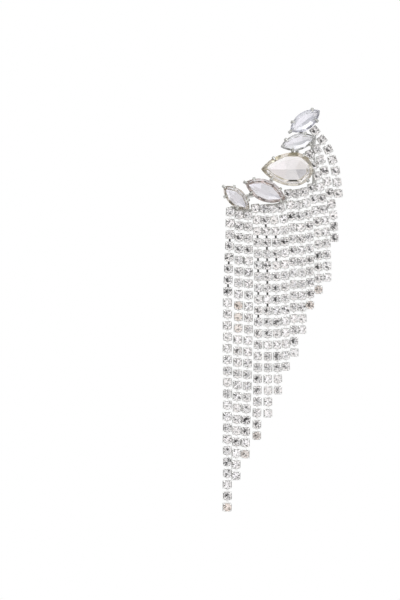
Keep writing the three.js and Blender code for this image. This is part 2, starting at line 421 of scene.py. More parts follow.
BRONZE_RIM = MirrorFoil(
    "foil_bronze_rim", silver=(0.93, 0.91, 0.89), lacquer=(0.68, 0.635, 0.53),
    thick_lacquer=(0.42, 0.395, 0.295),
)
COOL_BELLY = SoftFoil("foil_cool_belly", silver=(0.9, 0.9, 0.93))
GREY_BELLY = SoftFoil("foil_grey_belly", silver=(0.87, 0.87, 0.88))
CHAMPAGNE_BELLY = SoftFoil("foil_champagne_belly", silver=(0.98, 0.97, 0.985))
LILAC_BELLY = SoftFoil("foil_lilac_belly", silver=(0.93, 0.94, 0.955))
FLOOR_BOARD = PaintedBoard("floor_board")


# ---------------------------------------------------------------------------------------------
# Meshes
# ---------------------------------------------------------------------------------------------


@dataclass
class Pattern:
    """A closed shape to set many times, with a part for each face and a warmth for each point."""

    points: np.ndarray
    faces: list[Face]
    parts: list[int]
    warmth: np.ndarray
    shading: Shading

    @classmethod
    def plain(
        cls, rings: Sequence[np.ndarray], faces: list[Face], shading: Shading = Shading.ROUNDED,
    ) -> "Pattern":
        """Makes a pattern of one material.

        Args:
            rings: Its points, ring by ring.
            faces: The faces, as indices of points.
            shading: How the faces meet.

        Returns:
            The pattern.
        """
        points = np.vstack(rings)
        return cls(points, faces, [0] * len(faces), np.zeros(len(points)), shading)


@dataclass(frozen=True)
class Placement:
    """Where a pattern sits: its centre and the directions of its own three axes."""

    centre: np.ndarray
    across: np.ndarray
    along: np.ndarray
    forwards: np.ndarray

    @classmethod
    def flat(cls, centre: Sequence[float], turn: float) -> "Placement":
        """A placement that faces straight forwards.

        Args:
            centre: The centre, in the part's frame.
            turn: The angle of its first axis above +X, in degrees.

        Returns:
            The placement.
        """
        cos, sin = math.cos(math.radians(turn)), math.sin(math.radians(turn))
        across, along = np.array((cos, 0.0, sin)), np.array((-sin, 0.0, cos))
        return cls(np.asarray(centre, dtype=float), across, along, FORWARDS)

    def rotated(self, axis: np.ndarray, angle: float) -> "Placement":
        """The same placement turned about an axis through its centre.

        Args:
            axis: The axis.
            angle: The angle in degrees.

        Returns:
            The turned placement.
        """
        cos, sin = math.cos(math.radians(angle)), math.sin(math.radians(angle))
        return Placement(self.centre, *(
            vector * cos + np.cross(axis, vector) * sin + axis * (axis @ vector) * (1 - cos)
            for vector in (self.across, self.along, self.forwards)
        ))

    def set(self, points: np.ndarray) -> np.ndarray:
        """The points carried from the pattern's own axes to the part's frame."""
        return self.centre + points @ np.vstack((self.across, self.along, self.forwards))


def stand(name: str, data: bpy.types.ID) -> bpy.types.Object:
    """Puts a mesh, a lamp or a camera into the scene.

    Args:
        name: The object's name.
        data: The mesh, lamp or camera.

    Returns:
        The object.
    """
    made = bpy.data.objects.new(name, data)
    bpy.context.scene.collection.objects.link(made)
    return made


class Piece:
    """Gathers placed patterns into one named Blender mesh."""

    def __init__(self, name: str, *finishes: Finish) -> None:
        """Starts an empty piece.

        Args:
            name: The piece's name.
            finishes: Its finishes, in the order of the patterns' parts.
        """
        self.name = name
        self.finishes = finishes
        self.points: list[np.ndarray] = []
        self.warmth: list[np.ndarray] = []
        self.unshaded_share: list[np.ndarray] = []
        self.faces: list[Face] = []
        self.parts: list[int] = []
        self.smooth: list[bool] = []
        self.count = 0

    def put(
        self, pattern: Pattern, placement: Placement | None = None, warmth: float = 0,
        unshaded_share: np.ndarray | None = None,
    ) -> None:
        """Adds a pattern.

        Args:
            pattern: The shape.
            placement: Where it goes, or None if it is already in the part's frame.
            warmth: How much warmer than its own this one is.
            unshaded_share: How much each face is spared of the painted shade, or None if all of it.
        """
        points = pattern.points if placement is None else placement.set(pattern.points)
        self.points.append(points)
        self.warmth.append(np.clip(pattern.warmth + warmth, 0, 1))
        self.unshaded_share.append(np.ones(len(pattern.faces)) if unshaded_share is None else unshaded_share)
        self.faces += [tuple(self.count + corner for corner in face) for face in pattern.faces]
        self.parts += pattern.parts
        self.smooth += [pattern.shading is Shading.ROUNDED] * len(pattern.faces)
        self.count += len(points)

    def finish(self, slot: Slot, nodes: Iterable[str], crease: float) -> None:
        """Writes the mesh, dresses it and hands it to the frame.

        Args:
            slot: The record's material slot; not used.
            nodes: The CAD nodes that the piece stands for.
            crease: The angle above which a rounded piece shows an edge, in degrees.
        """
        mesh = bpy.data.meshes.new(self.name)
        mesh.from_pydata(np.vstack(self.points) * MM, [], self.faces)
        for finish in self.finishes:
            mesh.materials.append(finish.material())
        mesh.polygons.foreach_set("material_index", self.parts)
        # The face share stored here sets the painted shade on the stones' foil.
        stored = (("warmth", "POINT", self.warmth), ("unshaded_share", "FACE", self.unshaded_share))
        for name, domain, values in stored:
            mesh.attributes.new(name, "FLOAT", domain).data.foreach_set(
                "value", np.concatenate(values),
            )
        mesh.set_sharp_from_angle(angle=math.radians(crease))
        mesh.polygons.foreach_set("use_smooth", self.smooth)
        mesh.validate()
        mesh.update()
        made = stand(self.name, mesh)
        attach(made, BODY)
        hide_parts(*nodes)
        mesh.calc_loop_triangles()
        LOG.info("%s: %d triangles", self.name, len(mesh.loop_triangles))


def ring_faces(rings: int, around: int, closed: bool = False) -> list[Face]:
    """The four-sided faces between rings of points.

    Args:
        rings: How many rings there are.
        around: How many points each ring has.
        closed: True if the last ring joins the first.

    Returns:
        The faces.
    """
    faces = []
    for ring in range(rings if closed else rings - 1):
        low, high = ring * around, (ring + 1) % rings * around
        for i in range(around):
            j = (i + 1) % around
            faces.append((low + i, low + j, high + j, high + i))
    return faces


def capped(rings: Sequence[np.ndarray], shading: Shading = Shading.ROUNDED) -> Pattern:
    """A closed shape through rings of points, with a flat cap at each end.

    Args:
        rings: The rings, all with the same number of points.
        shading: How the faces meet.

    Returns:
        The closed shape.
    """
    around = len(rings[0])
    last = (len(rings) - 1) * around
    caps = [tuple(reversed(range(around))), tuple(range(last, last + around))]
    return Pattern.plain(rings, ring_faces(len(rings), around) + caps, shading)


def swept(
    centres: np.ndarray, sides: np.ndarray, ups: np.ndarray, halves: Sequence[Pair],
    around: int, squareness: float, shading: Shading = Shading.ROUNDED,
) -> Pattern:
    """A bar along a path, with a section that may change on the way.

    Args:
        centres: The stations of the path.
        sides: The direction of the section's width at each station.
        ups: The direction of its depth at each station.
        halves: Half of its width and half of its depth at each station.
        around: How many points the section has.
        squareness: 2 for an oval section, and more for a squarer one.
        shading: How the faces meet.

    Returns:
        The closed bar.
    """
    angles = np.arange(around) * 2 * math.pi / around
    wide, deep = (
        np.sign(wave) * np.abs(wave) ** (2 / squareness)
        for wave in (np.cos(angles), np.sin(angles))
    )
    return capped([
        centre + np.outer(wide * half[0], side) + np.outer(deep * half[1], up)
        for centre, side, up, half in zip(centres, sides, ups, halves)
    ], shading)


def turned(profile: Sequence[Pair], around: int) -> Pattern:
    """A shape turned about the Y axis.

    Args:
        profile: Radius and Y of each ring, from the front to the back.
        around: How many points each ring has.

    Returns:
        The closed shape.
    """
    angles = np.arange(around) * 2 * math.pi / around
    return capped([
        np.column_stack((radius * np.cos(angles), np.full(around, y), -radius * np.sin(angles)))
        for radius, y in profile
    ])


class Route:
    """A smooth line through stations in one plane, measured along its length."""

    SAMPLES = 60
    REACH = 0.2

    def __init__(self, stations: Sequence[Pair], depth: float) -> None:
        """Draws the line.

        Args:
            stations: X and Z of each station.
            depth: How far the line lies in front of the lobe face.
        """
        points = np.array([(x, -depth, z) for x, z in stations])
        before, after = 2 * points[0] - points[1], 2 * points[-1] - points[-2]
        padded = np.vstack((before, points, after))
        spans = [self.span(*padded[i:i + 4]) for i in range(len(points) - 1)]
        self.points = np.vstack([points[:1], *spans])
        steps = np.linalg.norm(np.diff(self.points, axis=0), axis=1)
        self.lengths = np.concatenate(((0,), np.cumsum(steps)))

    def span(self, p0: np.ndarray, p1: np.ndarray, p2: np.ndarray, p3: np.ndarray) -> np.ndarray:
        """The points of one centripetal span, without its first.

        Args:
            p0: The station before the span.
            p1: Its first station.
            p2: Its last station.
            p3: The station after it.

        Returns:
            The points.
        """
        gap0, gap1, gap2 = (
            math.sqrt(np.linalg.norm(b - a)) for a, b in ((p0, p1), (p1, p2), (p2, p3))
        )
        leave = (p1 - p0) / gap0 - (p2 - p0) / (gap0 + gap1) + (p2 - p1) / gap1
        arrive = (p2 - p1) / gap1 - (p3 - p1) / (gap1 + gap2) + (p3 - p2) / gap2
        leave, arrive = leave * gap1, arrive * gap1
        t = np.linspace(0, 1, self.SAMPLES + 1)[1:, None]
        square = -3 * p1 + 3 * p2 - 2 * leave - arrive
        cube = 2 * p1 - 2 * p2 + leave + arrive
        return p1 + leave * t + square * t**2 + cube * t**3

    @property
    def length(self) -> float:
        """The whole length of the line."""
        return float(self.lengths[-1])

    def at(self, distances: Sequence[float]) -> np.ndarray:
        """The points at the given distances along the line."""
        columns = [np.interp(distances, self.lengths, column) for column in self.points.T]
        return np.column_stack(columns)

    def heading(self, distance: float) -> np.ndarray:
        """The direction of travel, a unit vector, at a distance along the line.

        Args:
            distance: The distance.

        Returns:
            The direction.
        """
        before, after = max(distance - self.REACH, 0), min(distance + self.REACH, self.length)
        ends = self.at((before, after))
        step = ends[1] - ends[0]
        return step / np.linalg.norm(step)


# ---------------------------------------------------------------------------------------------
# Cut stones
# ---------------------------------------------------------------------------------------------


@dataclass(frozen=True)
class Outline:
    """A stone's outline: two arcs at each end, from the widest point to the tips."""

    left: float
    right: float
    half: float

    def reach(self, end: float) -> float:
        """How far the outline reaches at its left end, below 0, or at its right end."""
        return self.left if end < 0 else self.right

    def arc(self, end: float) -> Pair:
        """The radius of the arcs at one end, and how far their centre lies past the middle line."""
        radius = (self.reach(end) ** 2 + self.half**2) / (2 * self.half)
        return radius, radius - self.half

    def station(
        self, end: int, side: int, share: float, grow: float = 0,
    ) -> tuple[np.ndarray, np.ndarray]:
        """A point on the outline and the way that it faces.

        Args:
            end: -1 for the left end and 1 for the right.
            side: -1 for the lower edge and 1 for the upper.
            share: The share of the arc from the widest point, 0, to the tip, 1.
            grow: How far outside the outline the point lies.

        Returns:
            The point and the outward direction, both flat.
        """
        radius, drop = self.arc(end)
        grown = radius + grow
        angle = math.acos(min(drop / grown, 1)) * share
        outwards = np.array((end * math.sin(angle), side * math.cos(angle)))
        point = np.array((end * grown * math.sin(angle), side * (grown * math.cos(angle) - drop)))
        return point, outwards

    def fullness(self, along: np.ndarray) -> np.ndarray:
        """The outline's half width as a share of its widest.

        Args:
            along: Positions along the middle line.

        Returns:
            A share for each position, 1 at the widest and 0 at the tips.
        """
        shares = []
        for place in along:
            radius, drop = self.arc(place)
            across = math.sqrt(max(radius**2 - place**2, 0)) - drop
            shares.append(max(across, 0) / self.half)
        return np.array(shares)

    def ring(self, grow: float, points: int) -> np.ndarray:
        """The outline as a ring, anticlockwise from the right tip.

        Args:
            grow: How far outside the outline the ring lies.
            points: How many points each arc has.

        Returns:
            The ring's points.
        """
        corners = []
        for end, side in ((1, 1), (-1, 1), (-1, -1), (1, -1)):
            shares = [i / points for i in range(points)]
            if end == side:
                shares = [1 - share for share in shares]
            corners += [self.station(end, side, share, grow)[0] for share in shares]
        return np.array(corners)


@dataclass(frozen=True)
class FacetRow:
    """A row of like facets: where they sit on each arc, how steep they are and where they start."""

    shares: tuple[float, ...]
    slope: float
    height: float
    inset: float = 0
    part: StonePart = StonePart.GLASS


class RoughStone:
    """A block of glass that is ground one facet at a time."""

    NEAR = 1e-7
    SAME = 1e-6
    LACQUER_DEPTH = 0.8

    def __init__(self, half: float) -> None:
        """Starts from a cube.

        Args:
            half: Half of the cube's side.
        """
        self.facets: list[tuple[np.ndarray, StonePart]] = []
        for axis in range(3):
            for sign in (-1, 1):
                corners = np.zeros((4, 3))
                corners[:, axis] = sign * half
                corners[:, (axis + 1) % 3] = np.array((-1, 1, 1, -1)) * half
                corners[:, (axis + 2) % 3] = np.array((-1, -1, 1, 1)) * half
                self.facets.append((corners if sign > 0 else corners[::-1], StonePart.GLASS))

    def grind(self, normal: Sequence[float], point: Sequence[float], part: StonePart) -> None:
        """Grinds away everything outside a plane.

        Args:
            normal: The plane's outward direction.
            point: A point on it.
            part: What the new facet is part of.
        """
        normal, point = np.array(normal, dtype=float), np.array(point, dtype=float)
        kept, rim = [], []
        for corners, old in self.facets:
            heights = (corners - point) @ normal
            if heights.max() <= self.NEAR:
                kept.append((corners, old))
                continue
            trimmed = []
            after, high_after = np.roll(corners, -1, axis=0), np.roll(heights, -1)
            for here, high, there, high_there in zip(corners, heights, after, high_after):
                if high <= self.NEAR:
                    trimmed.append(here)
                    if high >= -self.NEAR:
                        rim.append(here)
                if min(high, high_there) < -self.NEAR and max(high, high_there) > self.NEAR:
                    cross = here + (there - here) * high / (high - high_there)
                    trimmed.append(cross)
                    rim.append(cross)
            if len(trimmed) > 2:
                kept.append((np.array(trimmed), old))
        self.facets = kept
        if len(rim) > 2:
            self.facets.append((self.around(np.array(rim), normal), part))

    def around(self, rim: np.ndarray, normal: np.ndarray) -> np.ndarray:
        """Puts the corners of a new facet in order.

        Args:
            rim: The corners, in any order and with repeats.
            normal: The facet's outward direction.

        Returns:
            The corners, anticlockwise.
        """
        middle = rim.mean(axis=0)
        start = rim[np.argmax(np.linalg.norm(rim - middle, axis=1))] - middle
        start = start / np.linalg.norm(start)
        sideways = np.cross(normal, start)
        angles = np.arctan2((rim - middle) @ sideways, (rim - middle) @ start)
        ordered = rim[np.argsort(angles)]
        kept = [ordered[0]]
        for corner in ordered[1:]:
            if np.linalg.norm(corner - kept[-1]) > self.SAME:
                kept.append(corner)
        if np.linalg.norm(kept[0] - kept[-1]) < self.SAME:
            kept.pop()
        return np.array(kept)

    def pattern(self, outline: Outline, lacquer: float, lacquer_side: float) -> Pattern:
        """The finished stone as a pattern, warmest at the girdle's sides.

        Args:
            outline: The stone's outline.
            lacquer: How thick the foil's lacquer is at the girdle.
            lacquer_side: From -1, if the lacquer has run to the lower side, to 1 for the upper.

        Returns:
            The pattern.
        """
        index: dict[tuple[float, ...], int] = {}
        points, faces, parts = [], [], []
        for corners, part in self.facets:
            face = []
            for corner in corners:
                key = tuple(np.round(corner, 4))
                if key not in index:
                    index[key] = len(points)
                    points.append(corner)
                if index[key] not in face:
                    face.append(index[key])
            if len(face) > 2:
                faces.append(tuple(face))
                parts.append(part.value)
        placed = np.array(points)
        depth = np.clip(-placed[:, 2] / (self.LACQUER_DEPTH * outline.half), 0, 1)
        run = math.copysign(1, lacquer_side) * placed[:, 1] / outline.half
        drained = abs(lacquer_side) * (1 - run) / 2
        warmth = lacquer * (1 - depth) * outline.fullness(placed[:, 0]) * (1 - drained)
        return Pattern(placed, faces, parts, warmth, Shading.FACETED)


@dataclass(frozen=True)
class StoneCut:
    """How a stone is cut: its outline, its table and its rows of facets.

    The places of a row's facets are shares of each arc, from its widest point to the tip.
    """

    outline: Outline
    crown: float
    crown_slope: float
    pavilion_slope: float = 40
    break_slope: float = 43
    belly_slope: float = 0
    belly_depth: float = 0
    culet_depth: float = 0
    edge: float = 0.12
    girdle_steps: int = 6
    lacquer: float = 0.6
    lacquer_side: float = 0
    table_shift: float = 0
    main_places: tuple[float, ...] = (0, 0.5, 1)
    half_places: tuple[float, ...] = (0.125, 0.375, 0.625, 0.875)
    break_places: tuple[float, ...] = (0.25, 0.75)
    belly_places: tuple[float, ...] = (0, 0.6)
    half_steeper: float = 8
    star_slope: float = 0.55
    star_inset: float = 1.04
    block_size: float = 1.5

    def rows(self) -> list[FacetRow]:
        """The rows of facets, from the girdle outwards.

        Returns:
            The rows.
        """
        crown, low = self.crown_slope, -self.edge
        star = self.run(crown) * self.star_inset
        rows = [
            FacetRow(self.main_places, crown, self.edge),
            FacetRow(self.half_places, crown + self.half_steeper, self.edge),
            FacetRow(self.break_places, crown * self.star_slope, self.edge + self.crown, star),
            FacetRow(self.main_places, -self.pavilion_slope, low, part=StonePart.RIM),
            FacetRow(self.break_places, -self.break_slope, low, part=StonePart.RIM),
        ]
        if self.belly_slope:
            inset = self.belly_depth / math.tan(math.radians(self.pavilion_slope))
            depth = low - self.belly_depth
            belly = (self.belly_places, -self.belly_slope, depth, inset, StonePart.BELLY)
            rows.append(FacetRow(*belly))
        return rows

    def cut(self) -> Pattern:
        """Cuts the stone.

        Returns:
            The stone in its own plane, with its girdle at height 0.
        """
        outline = self.outline
        block = RoughStone(self.block_size * max(outline.left, outline.right, outline.half))
        for step in range(self.girdle_steps + 1):
            for end, side in QUARTERS:
                point, outwards = outline.station(end, side, step / self.girdle_steps)
                block.grind((*outwards, 0), (*point, 0), StonePart.GLASS)
        for row in self.rows():
            self.grind_row(block, row)
        block.grind((0, 0, 1), (0, 0, self.edge + self.crown), StonePart.GLASS)
        if self.culet_depth:
            block.grind((0, 0, -1), (0, 0, -self.edge - self.culet_depth), StonePart.BELLY)
        return block.pattern(outline, self.lacquer, self.lacquer_side)

    def run(self, slope: float) -> float:
        """How far a crown facet of a given slope reaches in from the girdle."""
        return self.crown / math.tan(math.radians(slope))

    def grind_row(self, block: RoughStone, row: FacetRow) -> None:
        """Grinds one row of facets on all four arcs.

        Args:
            block: The stone so far.
            row: The row.
        """
        up = 1 if row.slope > 0 else -1
        for end, side in QUARTERS:
            for share in row.shares:
                point, outwards = self.outline.station(end, side, share)
                slope, inset = math.radians(abs(row.slope)), row.inset
                shift = self.table_shift * outwards[1]
                if up > 0 and inset == 0:
                    slope = math.atan2(self.crown, self.run(row.slope) - shift)
                elif up > 0:
                    inset -= shift
                normal = (*(outwards * math.sin(slope)), up * math.cos(slope))
                block.grind(normal, (*(point - outwards * inset), row.height), row.part)


# ---------------------------------------------------------------------------------------------
# Claw settings
# ---------------------------------------------------------------------------------------------


@dataclass(frozen=True)
class Claw:
    """One claw: its place along the outline, from -1 to 1, and its side, or 0 at a tip."""

    place: float
    side: int


@dataclass(frozen=True)
class ClawForm:
    """The sizes of the claws, in their own plane: outwards from the outline, and forwards.

    A claw is soldered to the gallery by its foot, turns up at its heel and knee into the leg, leans
    in at its shoulder and bends over the stone at its elbow.
    """

    width: float = 0.9
    thickness: float = 0.42
    gap: float = 0.13
    foot: Pair = (0.15, 0.3)
    heel: Pair = (0.25, 0.32)
    knee: float = 0.75
    hip: float = 0.1
    shoulder: Pair = (0.12, 0.32)
    elbow: float = 0.1
    reach: float = 1.0
    tip_width: float = 0.62
    tip_thickness: float = 0.34
    taper_from: float = 0.62
    nose_from: float = 0.88
    nose_length: float = 0.125
    nose_least: float = 0.02
    stations: int = 18

    def path(self, base: float, inset: float, edge: float, slope: float) -> np.ndarray:
        """The middle line of a claw.

        Args:
            base: The height of the gallery's foot, against the girdle.
            inset: How far the gallery is tucked in under the outline.
            edge: Half of the girdle's thickness.
            slope: The crown's slope in degrees.

        Returns:
            The line's points: outwards, forwards.
        """
        leg = self.gap + self.thickness / 2
        rise = math.tan(math.radians(slope))
        over = self.gap + self.tip_thickness / 2 / math.cos(math.radians(slope))
        tip = self.gap - self.reach
        line = Route((
            (-inset - self.foot[0], base + self.foot[1]),
            (leg - self.heel[0], base + self.heel[1]),
            (leg, base + self.knee),
            (leg, edge - self.hip),
            (leg - self.shoulder[0], edge + self.shoulder[1]),
            (-self.elbow, edge + over + self.elbow * rise),
            (tip, edge + over - tip * rise),
        ), 0)
        return line.at(np.linspace(0, line.length, self.stations))[:, (0, 2)]

    def halves(self) -> list[Pair]:
        """Half of the claw's width and half of its thickness along it.

        Returns:
            The two halves at each station, from the foot to the tip.
        """
        share = np.linspace(0, 1, self.stations)
        taper = np.clip((share - self.taper_from) / (1 - self.taper_from), 0, 1)
        nose = np.clip((share - self.nose_from) / self.nose_length, 0, 1)
        rounding = np.sqrt(np.clip(1 - nose**2, self.nose_least, 1))
        widths = self.width + (self.tip_width - self.width) * taper
        depths = self.thickness + (self.tip_thickness - self.thickness) * taper
        return list(zip(widths / 2 * rounding, depths / 2 * rounding**0.5))


@dataclass(frozen=True)
class Setting:
    """One stone with the gallery that seats it and the claws that hold it."""

    name: str
    x: float
    z: float
    turn: float
    girdle: float
    inset: float
    cut: StoneCut
    claws: tuple[Claw, ...]
    glass: CutGlass
    rim: MirrorFoil
    belly: SoftFoil
    wall: float = 0.5
    wall_round: float = 0.12
    back: float = 1.15
    seat_steeper: float = 3
    seat_gap: float = 0.12
    # Painted shade: the most that a rim or belly facet is darkened at random, in place of dark
    # reflections.
    arc_points: int = 12
    rim_painted_shade: float = 0.08
    belly_painted_shade: float = 0.16
    claw_form: ClawForm = field(default_factory=ClawForm)

    @property
    def foot(self) -> float:
        """The height of the gallery's foot, against the girdle."""
        return self.back - self.girdle

    def gallery(self) -> Pattern:
        """The wall under the stone, with rounded rims.

        Returns:
            The closed wall, in the stone's own plane.
        """
        steep = math.tan(math.radians(self.cut.pavilion_slope + self.seat_steeper))
        top = -self.cut.edge - steep * (self.inset + self.wall) - self.seat_gap
        outer, inner = -self.inset, -self.inset - self.wall
        foot, rim = self.foot, self.wall_round
        section = (
            (outer - rim, foot), (outer, foot + rim), (outer, top - rim), (outer - rim, top),
            (inner + rim, top), (inner, top - rim), (inner, foot + rim), (inner + rim, foot),
        )
        rings = []
        for grow, height in section:
            flat = self.cut.outline.ring(grow, self.arc_points)
            rings.append(np.column_stack((flat, np.full(len(flat), height))))
        return Pattern.plain(rings, ring_faces(len(section), len(rings[0]), closed=True))

    def claw(self, claw: Claw) -> Pattern:
        """One claw with a foot on the gallery and a tip that bends over the crown.

        Args:
            claw: Its place.

        Returns:
            The closed claw, in the stone's own plane.
        """
        outline = self.cut.outline
        end = -1 if claw.place < 0 else 1
        radius, drop = outline.arc(end)
        reach = abs(claw.place) * outline.reach(end)
        if claw.side == 0:
            out = np.array((end, 0, 0), dtype=float)
            point = np.array((end * reach, 0, 0))
        else:
            lean = math.asin(min(reach / radius, 1))
            out = np.array((end * math.sin(lean), claw.side * math.cos(lean), 0))
            point = np.array((end * reach, claw.side * (radius * math.cos(lean) - drop), 0))
        path = self.claw_form.path(self.foot, self.inset, self.cut.edge, self.cut.crown_slope)
        step = np.gradient(path, axis=0)
        step = step / np.linalg.norm(step, axis=1)[:, None]
        up = np.array((0.0, 0.0, 1.0))
        centres = point + np.outer(path[:, 0], out) + np.outer(path[:, 1], up)
        ups = np.outer(-step[:, 1], out) + np.outer(step[:, 0], up)
        sides = np.tile(np.cross(up, out), (len(path), 1))
        halves = self.claw_form.halves()
        return swept(centres, sides, ups, halves, around=14, squareness=2.5)

    def painted_facet_shade(self, stone: Pattern, shade_chance: np.random.Generator) -> np.ndarray:
        """How much each facet is spared of the painted shade that darkens rim and belly facets at
        random.

        Args:
            stone: The cut stone.
            shade_chance: The source of the painted shade.

        Returns:
            One share for each face.
        """
        deepest_painted_shade = {StonePart.RIM.value: self.rim_painted_shade, StonePart.BELLY.value: self.belly_painted_shade}
        painted_shade_share = np.array([deepest_painted_shade.get(part, 0) for part in stone.parts])
        return 1 - painted_shade_share * shade_chance.random(len(stone.parts))

    def build(self, shade_chance: np.random.Generator) -> None:
        """Cuts the stone, raises the gallery and bends the claws over.

        Args:
            shade_chance: The source of the painted facet shade.
        """
        seat = Placement.flat((self.x, -self.girdle, self.z), self.turn)
        cut = self.cut.cut()
        stone = Piece(f"cut_{self.name}", self.glass, self.rim, self.belly)
        stone.put(cut, seat, unshaded_share=self.painted_facet_shade(cut, shade_chance))
        stone.finish(Slot.FOILED_GLASS, (f"stone_{self.name}",), STONE_CREASE)
        metal = Piece(f"setting_{self.name}", FRAME_PLATING)
        metal.put(self.gallery(), seat)
        for claw in self.claws:
            metal.put(self.claw(claw), seat)
        metal.finish(Slot.PLATED_METAL, ("claw_frame",), METAL_CREASE)


# ---------------------------------------------------------------------------------------------
# Frame and post
# ---------------------------------------------------------------------------------------------


@dataclass(frozen=True)
class FrameWires:
    """The rail behind the top of the fringe, the spine behind the stones and the post's plate."""

    rail: tuple[Pair, ...] = (
        (-15.1, -11.6), (-9.5, -12.8), (-4.1, -11.2), (1.4, -10.4), (4.1, -7),
        (9.1, -5.9), (12.1, -4.2), (12.4, 0), (11.9, 6.4), (12.4, 12.6),
    )
    spine: tuple[Pair, ...] = (
        (-13.1, -8.35), (-3.8, -6.1), (0, 0), (5.7, 0.9), (7.1, 9.55), (9.25, 16.45),
    )
    back: float = 0.75
    depth: float = 1.1
    rail_width: float = 1.5
    spine_width: float = 1.3
    step: float = 0.8
    nose: tuple[float, ...] = (0, 0.12, 0.35)
    nose_shares: tuple[float, ...] = (0.55, 0.82, 0.97)
    plate_radius: float = 2.4
    plate_rim: float = 0.15
    plate_points: int = 48
    solder_radius: float = 0.85
    solder_rise: float = 0.42
    solder_foot: float = 0.2
    solder_angles: tuple[float, ...] = (78, 60, 40, 20, 0)

    def wire(self, stations: Sequence[Pair], width: float) -> Pattern:
        """A flattened wire through stations, with rounded ends.

        Args:
            stations: X and Z of each station.
            width: The wire's width.

        Returns:
            The closed wire.
        """
        route = Route(stations, self.back + self.depth / 2)
        nose = np.array(self.nose)
        body = np.linspace(0, route.length, int(route.length / self.step))[1:-1]
        spots = np.concatenate((nose, body, route.length - nose[::-1]))
        shares = (*self.nose_shares, *np.ones(len(body)), *self.nose_shares[::-1])
        sides = np.cross(FORWARDS, [route.heading(spot) for spot in spots])
        ups = np.tile(FORWARDS, (len(spots), 1))
        halves = [(width / 2 * share, self.depth / 2 * share) for share in shares]
        return swept(route.at(spots), sides, ups, halves, around=16, squareness=3.2)

    def plate(self) -> Pattern:
        """The round plate that the post's pad is soldered to.

        Returns:
            The closed plate.
        """
        back, front, rim = -self.back, -self.back - self.depth, self.plate_rim
        radius = self.plate_radius
        return turned((
            (radius - rim, front), (radius, front + rim),
            (radius, back - rim), (radius - rim, back),
        ), self.plate_points)

    def solder(self, spot: np.ndarray) -> Pattern:
        """A low bead of solder on the front of the rail.

        Args:
            spot: The middle of the top cup that the bead holds.

        Returns:
            The closed bead.
        """
        foot = self.solder_foot - self.back - self.depth
        height = self.solder_foot + self.solder_rise
        bead = turned([
            (self.solder_radius * math.cos(angle), foot - height * math.sin(angle))
            for angle in np.radians(self.solder_angles)
        ], 16)
        bead.points += np.array((spot[0], 0.0, spot[2]))
        return bead

    def build(self, tops: Sequence[np.ndarray]) -> None:
        """Bends the wires, sets the plate and solders the strands on.

        Args:
            tops: The middles of the top cups of the strands.
        """
        metal = Piece("frame_wires", WIRE_PLATING)
        metal.put(self.wire(self.rail, self.rail_width))
        metal.put(self.wire(self.spine, self.spine_width))
        metal.put(self.plate())
        for top in tops:
            metal.put(self.solder(top))
        metal.finish(Slot.PLATED_METAL, ("claw_frame",), METAL_CREASE)


@dataclass(frozen=True)
class EarPost:
    """A straight post on a round pad, with a groove that a clutch snaps into.

    Each rounded edge has a point in its middle, given as shares of the edge's size.
    """

    radius: float = 0.42
    length: float = 11
    tip_length: float = 0.5
    tip_radius: float = 0.2
    tip_middle: Pair = (0.86, 0.55)
    point_rim: float = 0.06
    point_flat: float = 0.6
    groove_from_tip: float = 2
    groove_width: float = 0.6
    groove_depth: float = 0.1
    groove_middle: Pair = (0.3, 0.6)
    pad_radius: float = 2.2
    pad_thickness: float = 0.7
    pad_rim: float = 0.12
    pad_middle: float = 0.3
    fillet: float = 0.25
    fillet_angles: tuple[float, ...] = (0, 30, 60, 90)
    around: int = 48

    def pad(self) -> list[Pair]:
        """Radius and Y of each ring of the pad, from its front to its back.

        Returns:
            The pad's profile.
        """
        front, rim, middle = -self.pad_thickness, self.pad_rim, self.pad_rim * self.pad_middle
        return [
            (self.pad_radius - rim, front),
            (self.pad_radius - middle, front + middle),
            (self.pad_radius, front + rim),
            (self.pad_radius, -rim),
            (self.pad_radius - middle, -middle),
            (self.pad_radius - rim, 0),
        ]

    def groove(self) -> list[Pair]:
        """Radius and Y of each ring of the groove.

        Returns:
            The groove's profile.
        """
        end = self.length - self.groove_from_tip
        start = end - self.groove_width
        shoulder = self.groove_width / 3
        waist = self.radius - self.groove_depth
        middle = waist + self.groove_depth * self.groove_middle[0]
        run = shoulder * self.groove_middle[1]
        return [
            (self.radius, start), (middle, start + run), (waist, start + shoulder),
            (waist, end - shoulder), (middle, end - run), (self.radius, end),
        ]

    def profile(self) -> list[Pair]:
        """Radius and Y of each ring, from the front of the pad to the tip.

        Returns:
            The profile.
        """
        fillet = [
            (self.radius + self.fillet * (1 - math.sin(angle)), self.fillet * (1 - math.cos(angle)))
            for angle in np.radians(self.fillet_angles)
        ]
        wide, far = self.tip_middle
        tip = [
            (self.radius, self.length - self.tip_length),
            (self.radius * wide, self.length - self.tip_length * far),
            (self.tip_radius, self.length - self.point_rim),
            (self.tip_radius * self.point_flat, self.length),
        ]
        return self.pad() + fillet + self.groove() + tip

    def build(self) -> None:
        """Turns the post and its pad in one."""
        metal = Piece("post_and_pad", FRAME_PLATING)
        metal.put(turned(self.profile(), self.around))
        metal.finish(Slot.PLATED_METAL, ("ear_post",), STONE_CREASE)


# ---------------------------------------------------------------------------------------------
# Cup chain
# ---------------------------------------------------------------------------------------------


@dataclass(frozen=True)
class Column:
    """A column of a cup's wall: its corner, its lean from that corner's diagonal and its length."""

    corner: int
    lean: float
    length: float

    @property
    def diagonal(self) -> float:
        """The direction of the corner's diagonal."""
        return math.radians(45 + 90 * self.corner)


